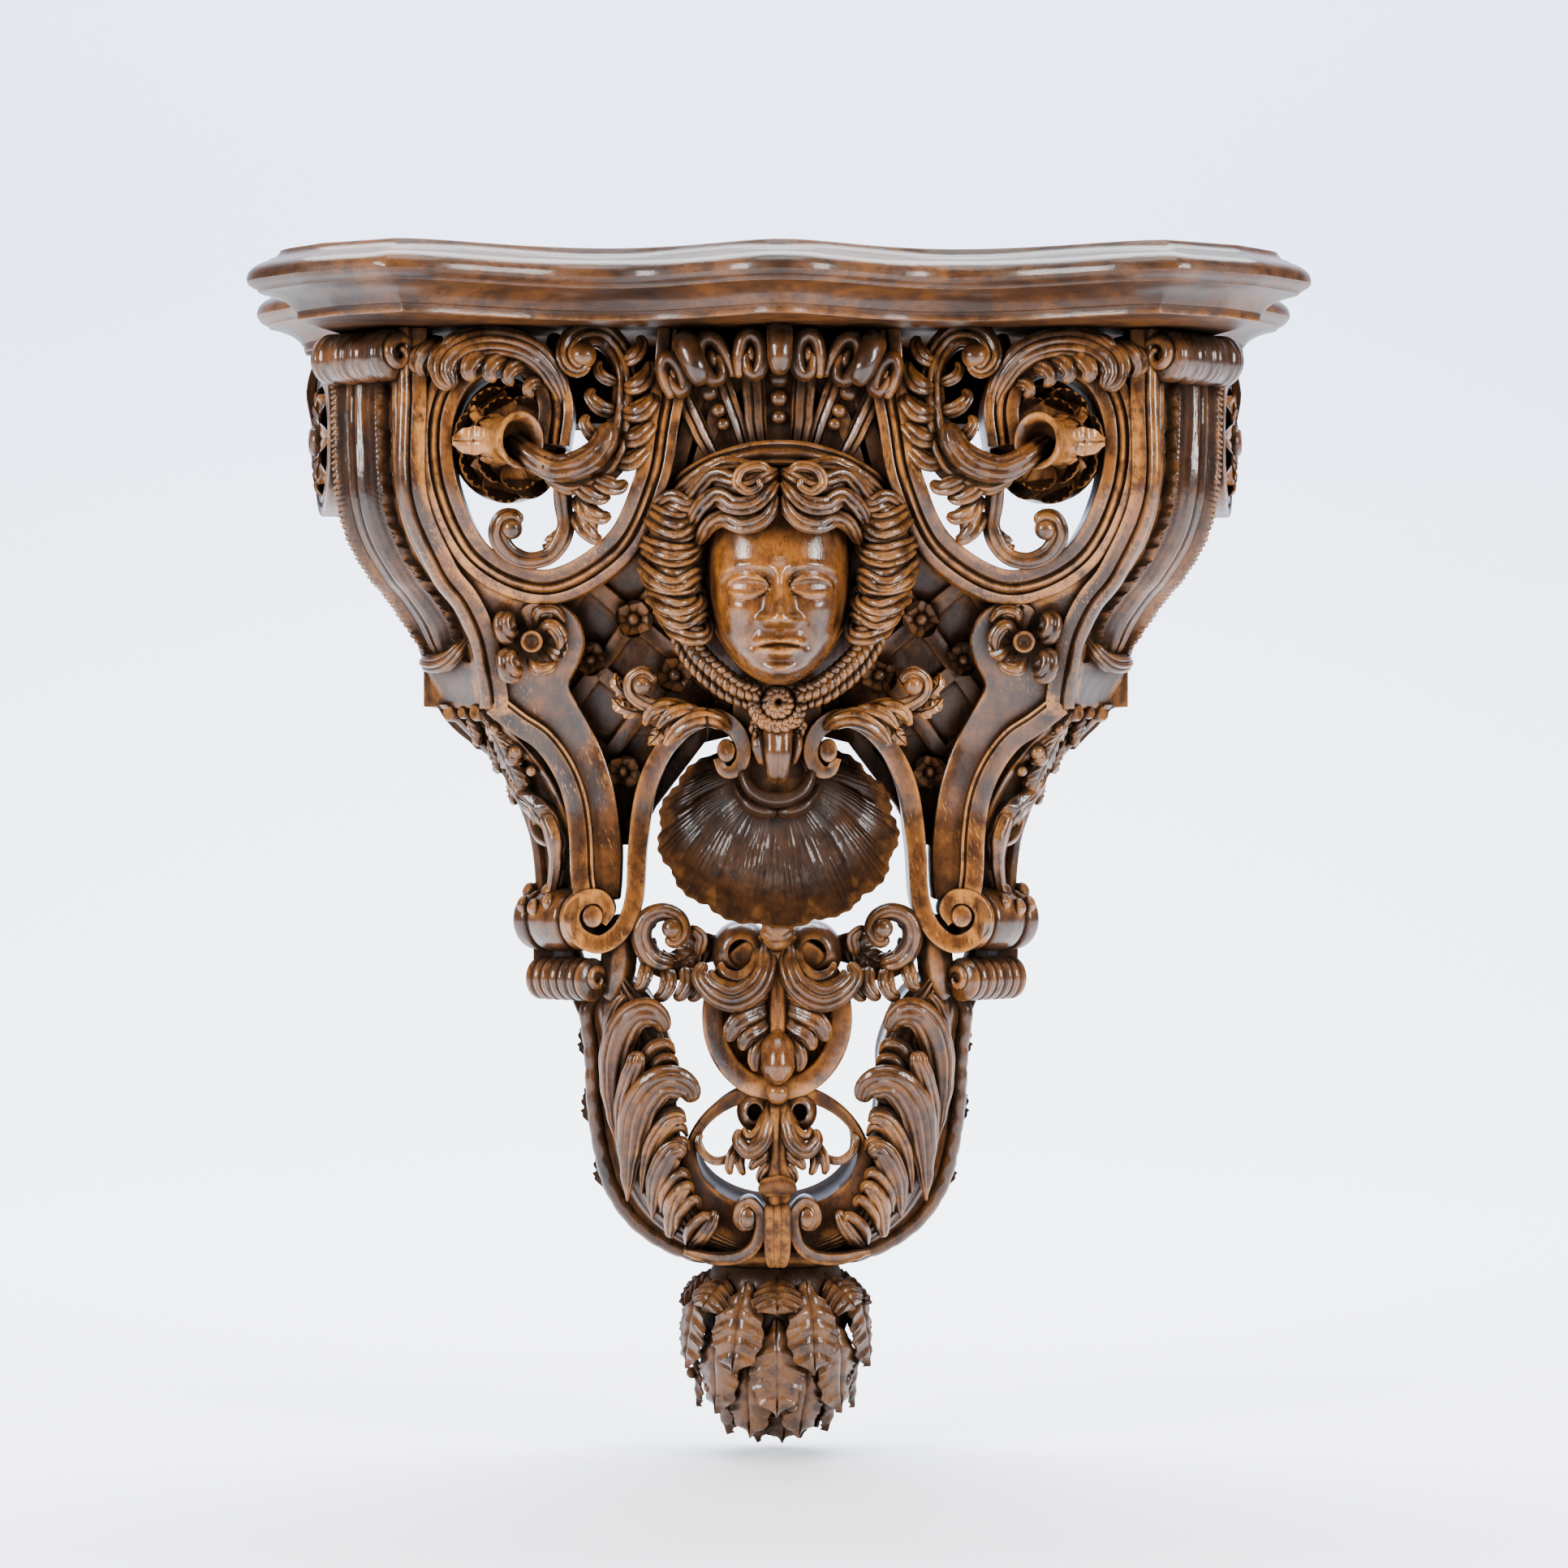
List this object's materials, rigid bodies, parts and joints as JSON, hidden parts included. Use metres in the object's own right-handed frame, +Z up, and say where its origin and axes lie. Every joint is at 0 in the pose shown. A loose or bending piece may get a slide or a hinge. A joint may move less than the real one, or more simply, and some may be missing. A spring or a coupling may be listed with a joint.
{
  "type": "carved wooden wall bracket",
  "caption": "Carved wooden corbel bracket with a moulded serpentine shelf, pierced scrolls, a calm mask with a plumed crown, a scallop shell and a leaf finial.",
  "frame": {"origin": "middle of the back rail's rear face, in the wall plane", "axes": "+Z up, +Y into the wall, -Y out of the front, +X to the viewer's right"},
  "size_m": [0.6, 0.27, 0.6631],
  "materials": {
    "shelf_wood": "dark stained wood, polished wax",
    "carved_wood": "dark stained carved wood, waxed highs and dusty recesses",
    "rail_wood": "dark unpolished wood",
    "finial_wood": "dark stained carved wood, waxed"
  },
  "bodies": {
    "root": {"shelf": "shelf_wood", "carved_bracket": "carved_wood", "back_rail": "rail_wood", "leaf_finial": "finial_wood"}
  },
  "joints": []
}
